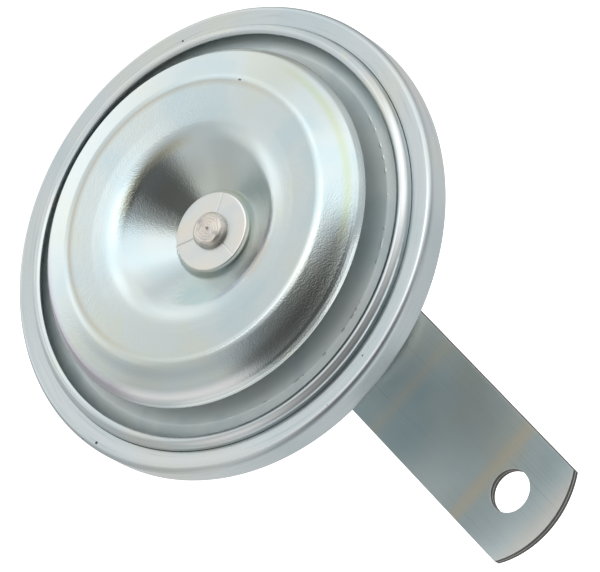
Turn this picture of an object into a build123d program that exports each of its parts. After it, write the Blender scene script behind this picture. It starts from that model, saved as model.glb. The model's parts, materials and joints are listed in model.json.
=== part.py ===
"""Electromagnetic disc horn for a vehicle: a steel case with a sprung diaphragm and tone disc.

Millimetres. The horn's axis lies along Y with the tone disc facing -Y, and the mounting strap
stands up along +Z. The origin is the centre of the strap's bolt hole, on the strap's rear face.
"""

import os
from math import sqrt

from build123d import *

# ---- Overall sizes ---------------------------------------------------------
rim_radius = 46.4            # outside of the crimped rim
case_depth = 39.0            # front of the rim to the rear face of the case
reach = 61.0                 # strap's bolt hole to the horn's axis

# ---- Strap -----------------------------------------------------------------
strap_width = 22.7
leaf_thickness = 0.9         # each of the two spring leaves
strap_tip_radius = 19.0      # the arc that ends each leaf
strap_tip_overhang = 11.5    # bolt hole to the tip of the arc
strap_tail_overhang = 12.5   # stud hole to the other end
bolt_hole_radius = 4.25      # clears an M8 bolt

# ---- Sheet thicknesses -----------------------------------------------------
crimp_sheet = 0.8
bead_sheet = 0.7
case_sheet = 1.0
diaphragm_sheet = 0.4
gasket_sheet = 0.3
disc_sheet = 1.2

# ---- Rim and its seat ------------------------------------------------------
crimp_depth = 6.2            # front lip to the end of the rear curl
crimp_lip_width = 4.1        # flat front lip, measured in from the rim
crimp_curl_width = 2.9       # rear curl, measured in from the rim
crimp_front_bend = 1.2       # outside radius between lip and band
crimp_rear_bend = 1.4        # outside radius between band and curl
rim_clearance = 0.1          # between the rim band and what it holds
flange_return_gap = 0.6      # case's returned flange to the curl behind it
bead_opening_margin = 6.5    # rim to the edge of the sound opening
bead_height = 2.0            # crest of the bead in front of the lip
bead_edge_height = 1.7       # inner edge of the bead in front of the lip
bead_crest_inset = 0.9       # opening's edge to the crest
bead_shoulder_inset = 0.4    # lip's edge to the bead's outer shoulder
bead_shoulder_height = 1.1   # that shoulder in front of the lip
bead_foot_inset = 0.15       # lip's edge to the foot of the bead, level with its back
bead_foot_bend = 0.15
bead_shoulder_bend = 0.9
bead_crest_bend = 0.9
gasket_margin = 3.8          # rim to the inside of the gaskets

# ---- Case ------------------------------------------------------------------
flange_width = 1.2           # gaskets' inside to the bend into the chamber
flange_return_bend = 1.2
flange_inner_bend = 1.6
chamber_margin = 10.0        # rim to the wall of the front chamber
chamber_depth = 14.5         # flange to the shoulder
shoulder_outer_bend = 3.0
shoulder_inner_bend = 1.4
coil_well_radius = 22.0      # inside of the rear step, at the shoulder
coil_well_taper = 2.0        # how much the step narrows to the rear
coil_well_bend = 2.5         # inside radius of the case's rearmost bend

# ---- Tone disc -------------------------------------------------------------
disc_radius = 35.7
disc_stand = 5.3             # disc's edge in front of the rim
disc_lip_radius = 34.6       # where the bevel turns down to the lip
disc_lip_height = 1.38       # that bend, in front of the edge
disc_crown_radius = 28.2     # where the land turns down to the bevel
disc_crown_height = 4.66     # that bend, in front of the edge
disc_land_radius = 20.5      # where the land starts to sink towards the dish
disc_land_height = 4.12      # that bend, in front of the edge
disc_ridge_radius = 16.5     # where the land turns into the dish
disc_ridge_height = 3.38     # that bend, in front of the edge
disc_floor_radius = 9.5      # where the dish meets its flat floor
disc_floor_depth = 3.5       # floor behind the edge
disc_lip_bend = 2.0
disc_crown_bend = 4.0
disc_land_bend = 30.0
disc_ridge_bend = 3.2
disc_floor_bend = 3.0

# ---- Hub -------------------------------------------------------------------
shank_radius = 2.75          # armature's riveted front shank
shank_clearance = 0.08
rivet_head_radius = 3.6
rivet_head_height = 1.5
rivet_crown = 0.9            # rounded part of the head's height
rivet_flat_radius = 2.3
dimple_radius = 0.4
dimple_depth = 0.45
front_washer_radius = 7.85
front_washer_thickness = 1.1
coined_line_count = 3
coined_line_width = 0.3
coined_line_depth = 0.15
coined_line_angle = 90.0     # of the first line, from +X towards +Z
washer_edge = 0.25           # rounding of the washers' outer edges
support_radius = 9.0
support_thickness = 0.9
spacer_radius = 6.0
hub_rise = 0.7               # diaphragm's hub in front of its rim
diaphragm_bend_radius = 37.3
diaphragm_bend_rise = 2.3   # bend in front of the clamped rim
diaphragm_foot_inset = 0.6   # gaskets' inside to the foot of the slope
diaphragm_hub_land = 4.0     # support washers' edge to the hub's bend
diaphragm_rim_bend = 1.0     # at the foot and the top of the slope
diaphragm_hub_bend = 4.0

# ---- Magnet ----------------------------------------------------------------
armature_radius = 8.0
core_margin = 0.3            # core's radius beyond the armature's
air_gap = 0.8                # armature to core at rest
armature_dip = 2.5           # armature's reach behind the shoulder
armature_chamfer = 0.6
bobbin_clearance = 0.1
bobbin_wall = 0.9
bobbin_flange = 1.0          # thickness of each end flange
winding_inset = 1.0          # flange edge to the outside of the winding
pole_plate_thickness = 1.3
pole_clearance = 0.8         # pole plate round the armature
pole_margin = 4.0            # chamber wall to the pole plate's edge
pole_flat_clearance = 1.2    # terminal rivets' heads to the plate's flat

# ---- Breaker ---------------------------------------------------------------
collar_radius = 11.4
collar_thickness = 2.0
collar_gap = 0.3             # collar to the contact spring at rest
spring_thickness = 0.3
carrier_thickness = 1.0
insulator_thickness = 1.0
breaker_width = 8.0
breaker_length = 8.0         # of the clamped stack, along the radius
breaker_margin = 9.0         # chamber wall to the middle of the stack
contact_setback = 8.75       # middle of the stack to the contacts
contact_radius = 1.6
contact_shank_radius = 0.8
contact_clinch = 0.3
carrier_lead = 2.6           # contact's centre to the carrier's tip
tab_radius = 3.2             # round end of the tab under the adjusting screw
spring_tip_width = 5.0
moving_contact_height = 0.45
breaker_rivet_radius = 1.1
breaker_rivet_spacing = 4.4
breaker_rivet_head = 0.7
spring_tip_lap = 1.6         # how far the spring reaches under the collar

# ---- Adjusting screw, M4 ---------------------------------------------------
screw_radius = 2.0
screw_head_radius = 3.4
screw_head_height = 1.8
screw_slot_width = 0.9
screw_slot_depth = 0.9
screw_slot_angle = 35.0
screw_clearance = 0.08
screw_offset = 8.6           # from the breaker's centre line

# ---- Terminals -------------------------------------------------------------
blade_width = 6.3
blade_thickness = 0.8
blade_length = 9.5
blade_hole_radius = 0.9
blade_hole_setback = 3.8     # tip to the hole's centre
terminal_spacing = 12.0
terminal_base_width = 22.0
terminal_base_thickness = 2.6
terminal_base_corner = 1.5
terminal_rib_width = 1.6
terminal_rib_height = 2.4
blade_tip_chamfer = 1.0
terminal_base_margin = 3.0   # shoulder's walls to the base's edges
terminal_rivet_radius = 1.4
terminal_rivet_head_radius = 2.6
terminal_rivet_head = 0.8
terminal_foot_length = 8.2
terminal_bend = 1.2          # outside radius of the blade's bend

# ---- Stud fastening, M8 ----------------------------------------------------
stud_radius = 3.95
stud_clearance = 0.15
thread_clearance = 0.05
lock_washer_radius = 7.2
lock_washer_thickness = 2.0
lock_washer_split = 1.4
lock_washer_angle = 20.0     # slant of the split
nut_across_flats = 13.0
nut_height = 6.5
nut_face_inset = 0.3         # flats to the circle of the nut's rear face
nut_cone_drop = 3.6          # cone's fall at twice the nut's half width
stud_protrusion = 2.0
stud_chamfer = 0.8

# ---- Places along the axis, worked out from the rear face forwards ---------
rear_y = -2 * leaf_thickness
face_y = rear_y - case_depth
bead_flange_y = face_y + crimp_sheet
front_gasket_y = bead_flange_y + bead_sheet
diaphragm_y = front_gasket_y + gasket_sheet
rear_gasket_y = diaphragm_y + diaphragm_sheet
flange_y = rear_gasket_y + gasket_sheet
flange_return_y = face_y + crimp_depth - crimp_sheet - flange_return_gap
shoulder_y = flange_y + chamber_depth
inner_rear_y = rear_y - case_sheet

disc_edge_y = face_y - disc_stand
disc_crown_y = disc_edge_y - disc_crown_height
disc_land_y = disc_edge_y - disc_land_height
disc_ridge_y = disc_edge_y - disc_ridge_height
disc_lip_y = disc_edge_y - disc_lip_height
disc_floor_y = disc_edge_y + disc_floor_depth
disc_back_y = disc_floor_y + disc_sheet
hub_front_y = diaphragm_y - hub_rise
front_support_y = hub_front_y - support_thickness
rear_support_y = hub_front_y + diaphragm_sheet
armature_y = rear_support_y + support_thickness
front_washer_y = disc_floor_y - front_washer_thickness
rivet_front_y = front_washer_y - rivet_head_height

pole_plate_y = shoulder_y - pole_plate_thickness
spring_back_y = pole_plate_y - insulator_thickness
spring_front_y = spring_back_y - spring_thickness
carrier_back_y = spring_front_y - insulator_thickness
carrier_front_y = carrier_back_y - carrier_thickness
top_insulator_y = carrier_front_y - insulator_thickness
collar_back_y = spring_front_y - collar_gap
collar_front_y = collar_back_y - collar_thickness
armature_end_y = shoulder_y + armature_dip
core_front_y = armature_end_y + air_gap
bobbin_front_y = shoulder_y + bobbin_clearance
bobbin_rear_y = inner_rear_y - bobbin_clearance
case_back_y = shoulder_y + case_sheet

lock_washer_y = 0.0
nut_y = lock_washer_y + lock_washer_thickness
stud_end_y = nut_y + nut_height + stud_protrusion

# ---- Radii worked out from those above -------------------------------------
held_radius = rim_radius - crimp_sheet - rim_clearance
lip_inner_radius = rim_radius - crimp_lip_width
opening_radius = rim_radius - bead_opening_margin
bead_flange_radius = rim_radius - crimp_front_bend
bead_foot_radius = lip_inner_radius - bead_foot_inset
bead_shoulder_radius = lip_inner_radius - bead_shoulder_inset
bead_crest_radius = opening_radius + bead_crest_inset
gasket_radius = rim_radius - gasket_margin
flange_bend_radius = gasket_radius - flange_width
chamber_radius = rim_radius - chamber_margin
coil_well_end_radius = coil_well_radius - coil_well_taper
pole_radius = chamber_radius - pole_margin
hub_hole_radius = shank_radius + shank_clearance
stud_hole_radius = stud_radius + stud_clearance
stack_x = chamber_radius - breaker_margin
contact_x = stack_x - contact_setback
carrier_tip_x = contact_x - carrier_lead
spring_tip_x = collar_radius - spring_tip_lap
breaker_rivet_places = [(stack_x + side * breaker_rivet_spacing / 2, 0) for side in (-1, 1)]
core_radius = armature_radius + core_margin
bobbin_bore_radius = core_radius + bobbin_clearance
terminal_radius = (chamber_radius + coil_well_radius + case_sheet) / 2
terminal_places = [(side * terminal_spacing / 2, -terminal_radius) for side in (-1, 1)]
terminal_base_depth = chamber_radius - coil_well_radius - 2 * terminal_base_margin
bobbin_flange_radius = coil_well_end_radius - coil_well_bend
winding_radius = bobbin_flange_radius - winding_inset

horn_plane = Plane.XY.offset(-reach)
horn_axis = Axis((0, 0, -reach), (0, 1, 0))


def facing(y):
    """Plane across the horn at y: its x is X, its y is Z from the horn's axis, its normal is -Y."""
    return Plane(origin=(0, y, -reach), x_dir=(1, 0, 0), z_dir=(0, -1, 0))


def ring_section(inner, outer, front_y, length):
    """Draws, in the current sketch, the section of a washer or sleeve on the horn's axis."""
    with Locations(((inner + outer) / 2, front_y + length / 2)):
        Rectangle(outer - inner, length)


# ---- Rim -------------------------------------------------------------------
# One sheet rolled round the whole edge: flat lip, band, and a curl behind the case's flange.
with BuildPart() as crimp_ring:
    with BuildSketch(horn_plane):
        with BuildLine():
            FilletPolyline(
                (lip_inner_radius, face_y),
                (rim_radius, face_y),
                (rim_radius, face_y + crimp_depth),
                (rim_radius - crimp_curl_width, face_y + crimp_depth),
                radius=(crimp_front_bend, crimp_rear_bend),
            )
            offset(amount=crimp_sheet, side=Side.LEFT)
        make_face()
    revolve(axis=horn_axis)
crimp_ring.part.label = "crimp_ring"

# The clamping ring: a flat flange under the lip, then a bead raised round the sound opening.
with BuildPart() as bead_ring:
    with BuildSketch(horn_plane):
        with BuildLine():
            FilletPolyline(
                (bead_flange_radius, bead_flange_y),
                (bead_foot_radius, bead_flange_y),
                (bead_shoulder_radius, face_y - bead_shoulder_height),
                (bead_crest_radius, face_y - bead_height),
                (opening_radius, face_y - bead_edge_height),
                radius=(bead_foot_bend, bead_shoulder_bend, bead_crest_bend),
            )
            offset(amount=bead_sheet, side=Side.RIGHT)
        make_face()
    revolve(axis=horn_axis)
bead_ring.part.label = "bead_ring"


with BuildPart() as front_gasket:
    with BuildSketch(horn_plane):
        ring_section(gasket_radius, held_radius, front_gasket_y, gasket_sheet)
    revolve(axis=horn_axis)
front_gasket.part.label = "front_gasket"

with BuildPart() as rear_gasket:
    with BuildSketch(horn_plane):
        ring_section(gasket_radius, held_radius, rear_gasket_y, gasket_sheet)
    revolve(axis=horn_axis)
rear_gasket.part.label = "rear_gasket"

# ---- Diaphragm -------------------------------------------------------------
# Clamped at its flat rim; it rises to a bend and dips slightly to the hub.
with BuildPart() as diaphragm:
    with BuildSketch(horn_plane):
        with BuildLine():
            FilletPolyline(
                (held_radius, diaphragm_y),
                (gasket_radius - diaphragm_foot_inset, diaphragm_y),
                (diaphragm_bend_radius, diaphragm_y - diaphragm_bend_rise),
                (support_radius + diaphragm_hub_land, hub_front_y),
                (hub_hole_radius, hub_front_y),
                radius=(diaphragm_rim_bend, diaphragm_rim_bend, diaphragm_hub_bend),
            )
            offset(amount=diaphragm_sheet, side=Side.RIGHT)
        make_face()
    revolve(axis=horn_axis)
diaphragm.part.label = "diaphragm"

# ---- Case ------------------------------------------------------------------
# Deep-drawn in two steps from one sheet: returned flange, front chamber, shoulder and coil well.
with BuildPart() as case:
    with BuildSketch(horn_plane):
        with BuildLine():
            FilletPolyline(
                (held_radius, flange_return_y),
                (held_radius, flange_y),
                (flange_bend_radius, flange_y),
                (chamber_radius, shoulder_y),
                (coil_well_radius, shoulder_y),
                (coil_well_end_radius, inner_rear_y),
                (stud_hole_radius, inner_rear_y),
                radius=(
                    flange_return_bend,
                    flange_inner_bend,
                    shoulder_outer_bend,
                    shoulder_inner_bend,
                    coil_well_bend,
                ),
            )
            offset(amount=case_sheet, side=Side.RIGHT)
        make_face()
    revolve(axis=horn_axis)
    # Holes in the shoulder for the adjusting screw and the terminal rivets.
    with BuildSketch(facing(case_back_y)):
        with Locations((stack_x, screw_offset)):
            Circle(screw_radius + screw_clearance)
        with Locations(*terminal_places):
            Circle(terminal_rivet_radius + shank_clearance)
    extrude(amount=case_sheet, mode=Mode.SUBTRACT)
case.part.label = "case"

# ---- Tone disc -------------------------------------------------------------
# Pressed from one sheet: turned-down lip, bevel, a land that sinks a little inwards, then a
# dish down to the hub.
with BuildPart() as tone_disc:
    with BuildSketch(horn_plane):
        with BuildLine():
            FilletPolyline(
                (disc_radius, disc_edge_y),
                (disc_lip_radius, disc_lip_y),
                (disc_crown_radius, disc_crown_y),
                (disc_land_radius, disc_land_y),
                (disc_ridge_radius, disc_ridge_y),
                (disc_floor_radius, disc_floor_y),
                (hub_hole_radius, disc_floor_y),
                radius=(
                    disc_lip_bend,
                    disc_crown_bend,
                    disc_land_bend,
                    disc_ridge_bend,
                    disc_floor_bend,
                ),
            )
            offset(amount=disc_sheet, side=Side.RIGHT)
        make_face()
    revolve(axis=horn_axis)
tone_disc.part.label = "tone_disc"


# ---- Hub stack -------------------------------------------------------------
# Washer under the rivet head, with three coined radial lines.
with BuildPart() as front_washer:
    with BuildSketch(horn_plane):
        ring_section(hub_hole_radius, front_washer_radius, front_washer_y, front_washer_thickness)
    revolve(axis=horn_axis)
    fillet(front_washer.edges().group_by(Axis.Y)[0].sort_by(SortBy.LENGTH)[-1], washer_edge)
    with BuildSketch(facing(front_washer_y)):
        line_middle = (front_washer_radius + rivet_head_radius) / 2
        with PolarLocations(line_middle, coined_line_count, start_angle=coined_line_angle):
            Rectangle(front_washer_radius, coined_line_width)
    extrude(amount=-coined_line_depth, mode=Mode.SUBTRACT)
front_washer.part.label = "front_washer"

with BuildPart() as tone_spacer:
    with BuildSketch(horn_plane):
        ring_section(hub_hole_radius, spacer_radius, disc_back_y, front_support_y - disc_back_y)
    revolve(axis=horn_axis)
tone_spacer.part.label = "tone_spacer"

with BuildPart() as front_support_washer:
    with BuildSketch(horn_plane):
        ring_section(hub_hole_radius, support_radius, front_support_y, support_thickness)
    revolve(axis=horn_axis)
    fillet(front_support_washer.edges().group_by(Axis.Y)[0].sort_by(SortBy.LENGTH)[-1], washer_edge)
front_support_washer.part.label = "front_support_washer"

with BuildPart() as rear_support_washer:
    with BuildSketch(horn_plane):
        ring_section(hub_hole_radius, support_radius, rear_support_y, support_thickness)
    revolve(axis=horn_axis)
    fillet(rear_support_washer.edges().group_by(Axis.Y)[-1].sort_by(SortBy.LENGTH)[-1], washer_edge)
rear_support_washer.part.label = "rear_support_washer"

# Armature: the plunger, its shank through the hub stack, and the spun head that rivets the stack.
head_shoulder_y = rivet_front_y + rivet_crown
with BuildPart() as armature:
    with BuildSketch(horn_plane):
        with BuildLine():
            Polyline(
                (0, rivet_front_y + dimple_depth),
                (dimple_radius, rivet_front_y),
                (rivet_flat_radius, rivet_front_y),
            )
            ThreePointArc(
                (rivet_flat_radius, rivet_front_y),
                ((rivet_flat_radius + 2 * rivet_head_radius) / 3, rivet_front_y + rivet_crown / 3),
                (rivet_head_radius, head_shoulder_y),
            )
            Polyline(
                (rivet_head_radius, head_shoulder_y),
                (rivet_head_radius, front_washer_y),
                (shank_radius, front_washer_y),
                (shank_radius, armature_y),
                (armature_radius, armature_y),
                (armature_radius, armature_end_y - armature_chamfer),
                (armature_radius - armature_chamfer, armature_end_y),
                (0, armature_end_y),
                (0, rivet_front_y + dimple_depth),
            )
        make_face()
    revolve(axis=horn_axis)
armature.part.label = "armature"

# Insulating collar on the armature; its rear face opens the breaker.
with BuildPart() as armature_collar:
    with BuildSketch(horn_plane):
        ring_section(armature_radius, collar_radius, collar_front_y, collar_thickness)
    revolve(axis=horn_axis)
armature_collar.part.label = "armature_collar"

# ---- Magnet ----------------------------------------------------------------
# The core stands on the case's rear wall, and its stud carries the strap.
with BuildPart() as magnet_core:
    with BuildSketch(horn_plane):
        with BuildLine():
            Polyline(
                (0, core_front_y),
                (core_radius, core_front_y),
                (core_radius, inner_rear_y),
                (stud_radius, inner_rear_y),
                (stud_radius, stud_end_y - stud_chamfer),
                (stud_radius - stud_chamfer, stud_end_y),
                (0, stud_end_y),
                (0, core_front_y),
            )
        make_face()
    revolve(axis=horn_axis)
magnet_core.part.label = "magnet_core"

with BuildPart() as bobbin:
    with BuildSketch(horn_plane):
        length = bobbin_rear_y - bobbin_front_y
        ring_section(bobbin_bore_radius, bobbin_bore_radius + bobbin_wall, bobbin_front_y, length)
        ring_section(bobbin_bore_radius, bobbin_flange_radius, bobbin_front_y, bobbin_flange)
        rear_flange_y = bobbin_rear_y - bobbin_flange
        ring_section(bobbin_bore_radius, bobbin_flange_radius, rear_flange_y, bobbin_flange)
    revolve(axis=horn_axis)
bobbin.part.label = "bobbin"

with BuildPart() as coil_winding:
    with BuildSketch(horn_plane):
        winding_y = bobbin_front_y + bobbin_flange
        winding_length = rear_flange_y - winding_y
        ring_section(bobbin_bore_radius + bobbin_wall, winding_radius, winding_y, winding_length)
    revolve(axis=horn_axis)
coil_winding.part.label = "coil_winding"

# Steel plate that closes the magnetic circuit; a flat clears the terminals' rivets.
with BuildPart() as pole_plate:
    with BuildSketch(facing(shoulder_y)):
        Circle(pole_radius)
        Circle(armature_radius + pole_clearance, mode=Mode.SUBTRACT)
        flat_y = -terminal_radius + terminal_rivet_head_radius + pole_flat_clearance
        with Locations((0, flat_y)):
            Rectangle(2 * pole_radius, pole_radius, align=(Align.CENTER, Align.MAX), mode=Mode.SUBTRACT)
        with Locations((stack_x, screw_offset)):
            Circle(screw_radius + screw_clearance, mode=Mode.SUBTRACT)
        with Locations(*breaker_rivet_places):
            Circle(breaker_rivet_radius, mode=Mode.SUBTRACT)
    extrude(amount=pole_plate_thickness)
pole_plate.part.label = "pole_plate"

# ---- Breaker ---------------------------------------------------------------
# Leaf spring that presses the moving contact forwards; the collar pushes its tip back.
with BuildPart() as contact_spring:
    with BuildSketch(facing(spring_back_y)):
        with Locations((stack_x, 0)):
            Rectangle(breaker_length, breaker_width)
        with BuildLine():
            Polyline(
                (spring_tip_x, -spring_tip_width / 2),
                (stack_x - breaker_length / 2, -breaker_width / 2),
                (stack_x - breaker_length / 2, breaker_width / 2),
                (spring_tip_x, spring_tip_width / 2),
                (spring_tip_x, -spring_tip_width / 2),
            )
        make_face()
        with Locations(*breaker_rivet_places):
            Circle(breaker_rivet_radius, mode=Mode.SUBTRACT)
        with Locations((contact_x, 0)):
            Circle(contact_shank_radius, mode=Mode.SUBTRACT)
    extrude(amount=spring_thickness)
contact_spring.part.label = "contact_spring"

# Fixed arm in front of the spring, with a side tab that the adjusting screw bears on.
with BuildPart() as contact_carrier:
    with BuildSketch(facing(carrier_back_y)):
        arm_length = stack_x + breaker_length / 2 - carrier_tip_x
        with Locations((carrier_tip_x, 0)):
            Rectangle(arm_length, breaker_width, align=(Align.MIN, Align.CENTER))
        with Locations((stack_x, 0)):
            Rectangle(2 * tab_radius, screw_offset, align=(Align.CENTER, Align.MIN))
        with Locations((stack_x, screw_offset)):
            Circle(tab_radius)
        with Locations(*breaker_rivet_places):
            Circle(breaker_rivet_radius, mode=Mode.SUBTRACT)
        with Locations((contact_x, 0)):
            Circle(contact_shank_radius, mode=Mode.SUBTRACT)
    extrude(amount=carrier_thickness)
contact_carrier.part.label = "contact_carrier"

# Contact buttons, each with a shank clinched behind its strip.
with BuildPart() as fixed_contact:
    with BuildSketch(facing(carrier_back_y)):
        with Locations((contact_x, 0)):
            Circle(contact_radius)
    extrude(amount=moving_contact_height - insulator_thickness)
    with BuildSketch(facing(carrier_back_y)):
        with Locations((contact_x, 0)):
            Circle(contact_shank_radius)
    extrude(amount=carrier_thickness + contact_clinch)
    with BuildSketch(facing(carrier_front_y)):
        with Locations((contact_x, 0)):
            Circle(contact_shank_radius + contact_clinch)
    extrude(amount=contact_clinch)
fixed_contact.part.label = "fixed_contact"

with BuildPart() as moving_contact:
    with BuildSketch(facing(spring_front_y)):
        with Locations((contact_x, 0)):
            Circle(contact_radius)
    extrude(amount=moving_contact_height)
    with BuildSketch(facing(spring_back_y + contact_clinch)):
        with Locations((contact_x, 0)):
            Circle(contact_shank_radius)
    extrude(amount=contact_clinch + spring_thickness)
    with BuildSketch(facing(spring_back_y)):
        with Locations((contact_x, 0)):
            Circle(contact_shank_radius + contact_clinch)
    extrude(amount=-contact_clinch)
moving_contact.part.label = "moving_contact"

# Three fibre plates: under the spring, between spring and carrier, and on the carrier.
with BuildPart() as breaker_insulators:
    for back_y in (pole_plate_y, spring_front_y, carrier_front_y):
        with BuildSketch(facing(back_y)):
            with Locations((stack_x, 0)):
                Rectangle(breaker_length, breaker_width)
            with Locations(*breaker_rivet_places):
                Circle(breaker_rivet_radius, mode=Mode.SUBTRACT)
        extrude(amount=insulator_thickness)
breaker_insulators.part.label = "breaker_insulators"

with BuildPart() as breaker_rivets:
    with BuildSketch(facing(shoulder_y)):
        with Locations(*breaker_rivet_places):
            Circle(breaker_rivet_radius)
    extrude(amount=shoulder_y - top_insulator_y)
    with BuildSketch(facing(top_insulator_y)):
        with Locations(*breaker_rivet_places):
            Circle(breaker_rivet_radius + breaker_rivet_head)
    extrude(amount=breaker_rivet_head)
breaker_rivets.part.label = "breaker_rivets"

# Slotted screw from the rear; its tip bears on the carrier's tab.
with BuildPart() as adjusting_screw:
    with BuildSketch(facing(case_back_y)):
        with Locations((stack_x, screw_offset)):
            Circle(screw_radius)
    extrude(amount=case_back_y - carrier_back_y)
    with BuildSketch(facing(case_back_y + screw_head_height)):
        with Locations((stack_x, screw_offset)):
            Circle(screw_head_radius)
    extrude(amount=screw_head_height)
    with BuildSketch(facing(case_back_y + screw_head_height)):
        with Locations(Location((stack_x, screw_offset), screw_slot_angle)):
            Rectangle(2 * screw_head_radius, screw_slot_width)
    extrude(amount=screw_slot_depth, mode=Mode.SUBTRACT)
adjusting_screw.part.label = "adjusting_screw"

# ---- Terminals -------------------------------------------------------------
terminal_base_back_y = case_back_y + terminal_base_thickness

with BuildPart() as terminal_base:
    with BuildSketch(facing(case_back_y)):
        with Locations((0, -terminal_radius)):
            RectangleRounded(terminal_base_width, terminal_base_depth, terminal_base_corner)
        with Locations(*terminal_places):
            Circle(terminal_rivet_radius + shank_clearance, mode=Mode.SUBTRACT)
    extrude(amount=-terminal_base_thickness)
    # A rib that keeps the two connectors apart.
    with BuildSketch(facing(terminal_base_back_y)):
        with Locations((0, -terminal_radius)):
            Rectangle(terminal_rib_width, terminal_base_depth)
    extrude(amount=-terminal_rib_height)
terminal_base.part.label = "terminal_base"


def terminal_blade(side):
    """A tab bent from flat brass: a riveted foot, and a blade that points to the rear."""
    foot_z = -reach - terminal_radius + terminal_foot_length / 2
    blade_z = foot_z - terminal_foot_length
    with BuildPart() as blade:
        edge_x = side * terminal_spacing / 2 - blade_width / 2
        with BuildSketch(Plane.YZ.offset(edge_x)):
            with BuildLine():
                FilletPolyline(
                    (terminal_base_back_y, foot_z),
                    (terminal_base_back_y, blade_z),
                    (terminal_base_back_y + blade_length, blade_z),
                    radius=terminal_bend,
                )
                offset(amount=blade_thickness, side=Side.LEFT)
            make_face()
        extrude(amount=blade_width)
        with BuildSketch(facing(terminal_base_back_y)):
            with Locations((side * terminal_spacing / 2, -terminal_radius)):
                Circle(terminal_rivet_radius + shank_clearance)
        extrude(amount=-blade_thickness, mode=Mode.SUBTRACT)
        tip_edges = blade.edges().filter_by(Axis.Z).group_by(Axis.Y)[-1]
        chamfer(tip_edges, blade_tip_chamfer)
        with BuildSketch(Plane.XY.offset(blade_z)):
            hole_y = terminal_base_back_y + blade_length - blade_hole_setback
            with Locations((side * terminal_spacing / 2, hole_y)):
                Circle(blade_hole_radius)
        extrude(amount=blade_thickness, mode=Mode.SUBTRACT)
    return blade


terminal_left = terminal_blade(-1)
terminal_left.part.label = "terminal_left"

terminal_right = terminal_blade(1)
terminal_right.part.label = "terminal_right"

with BuildPart() as terminal_rivets:
    foot_back_y = terminal_base_back_y + blade_thickness
    with BuildSketch(facing(foot_back_y)):
        with Locations(*terminal_places):
            Circle(terminal_rivet_radius)
    extrude(amount=foot_back_y - shoulder_y)
    with BuildSketch(facing(shoulder_y)):
        with Locations(*terminal_places):
            Circle(terminal_rivet_head_radius)
    extrude(amount=terminal_rivet_head)
    with BuildSketch(facing(foot_back_y)):
        with Locations(*terminal_places):
            Circle(terminal_rivet_head_radius)
    extrude(amount=-terminal_rivet_head)
terminal_rivets.part.label = "terminal_rivets"

# ---- Strap -----------------------------------------------------------------
arc_rise = strap_tip_radius - sqrt(strap_tip_radius**2 - (strap_width / 2) ** 2)
tip_z = reach + strap_tip_overhang
tail_z = -strap_tail_overhang


def strap_leaf(back_y):
    """One leaf of the strap: straight sides, an arc at each end, the bolt and stud holes."""
    with BuildPart() as leaf:
        with BuildSketch(facing(back_y)):
            with BuildLine():
                Line((-strap_width / 2, tail_z + arc_rise), (-strap_width / 2, tip_z - arc_rise))
                ThreePointArc(
                    (-strap_width / 2, tip_z - arc_rise),
                    (0, tip_z),
                    (strap_width / 2, tip_z - arc_rise),
                )
                Line((strap_width / 2, tip_z - arc_rise), (strap_width / 2, tail_z + arc_rise))
                ThreePointArc(
                    (strap_width / 2, tail_z + arc_rise),
                    (0, tail_z),
                    (-strap_width / 2, tail_z + arc_rise),
                )
            make_face()
            with Locations((0, reach)):
                Circle(bolt_hole_radius, mode=Mode.SUBTRACT)
            Circle(stud_hole_radius, mode=Mode.SUBTRACT)
        extrude(amount=leaf_thickness)
    return leaf


bracket_leaf_front = strap_leaf(-leaf_thickness)
bracket_leaf_front.part.label = "bracket_leaf_front"

bracket_leaf_rear = strap_leaf(0)
bracket_leaf_rear.part.label = "bracket_leaf_rear"

# ---- Stud fastening --------------------------------------------------------
# Spring lock washer, split once.
with BuildPart() as lock_washer:
    with BuildSketch(facing(lock_washer_y + lock_washer_thickness)):
        Circle(lock_washer_radius)
        Circle(stud_hole_radius, mode=Mode.SUBTRACT)
        with Locations((0, -lock_washer_radius)):
            Rectangle(
                lock_washer_split,
                lock_washer_radius,
                rotation=lock_washer_angle,
                mode=Mode.SUBTRACT,
            )
    extrude(amount=lock_washer_thickness)
lock_washer.part.label = "lock_washer"

# Hexagon nut, its corners turned off by a 30 degree cone on the rear face.
with BuildPart() as stud_nut:
    with BuildSketch(facing(nut_y + nut_height)):
        RegularPolygon(nut_across_flats / 2, 6, major_radius=False)
        Circle(stud_radius + thread_clearance, mode=Mode.SUBTRACT)
    extrude(amount=nut_height)
    with BuildSketch(horn_plane):
        with BuildLine():
            Polyline(
                (0, nut_y),
                (nut_across_flats, nut_y),
                (nut_across_flats, nut_y + nut_height - nut_cone_drop),
                (nut_across_flats / 2 - nut_face_inset, nut_y + nut_height),
                (0, nut_y + nut_height),
                (0, nut_y),
            )
        make_face()
    revolve(axis=horn_axis, mode=Mode.INTERSECT)
stud_nut.part.label = "stud_nut"

# ---- Files -----------------------------------------------------------------
os.makedirs("parts", exist_ok=True)
for piece in (
    crimp_ring,
    bead_ring,
    front_gasket,
    diaphragm,
    rear_gasket,
    case,
    tone_disc,
    front_washer,
    tone_spacer,
    front_support_washer,
    rear_support_washer,
    armature,
    armature_collar,
    magnet_core,
    bobbin,
    coil_winding,
    pole_plate,
    contact_spring,
    moving_contact,
    contact_carrier,
    fixed_contact,
    breaker_insulators,
    breaker_rivets,
    adjusting_screw,
    terminal_base,
    terminal_left,
    terminal_right,
    terminal_rivets,
    bracket_leaf_front,
    bracket_leaf_rear,
    lock_washer,
    stud_nut,
):
    export_step(piece.part, f"parts/{piece.part.label}.step")
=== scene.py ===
# %% [markdown]
# # An electromagnetic disc horn
# A disc horn is almost all pressed and plated sheet steel: a tone disc that rings in front of
# a diaphragm, a rim rolled round both, a two-step case behind them and a flat strap to hang it
# by. The CAD model already holds every size, so this file takes the model as a fixed frame and
# gives it surfaces fine enough to mirror a studio, and finishes that say how each was made.

import json

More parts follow.
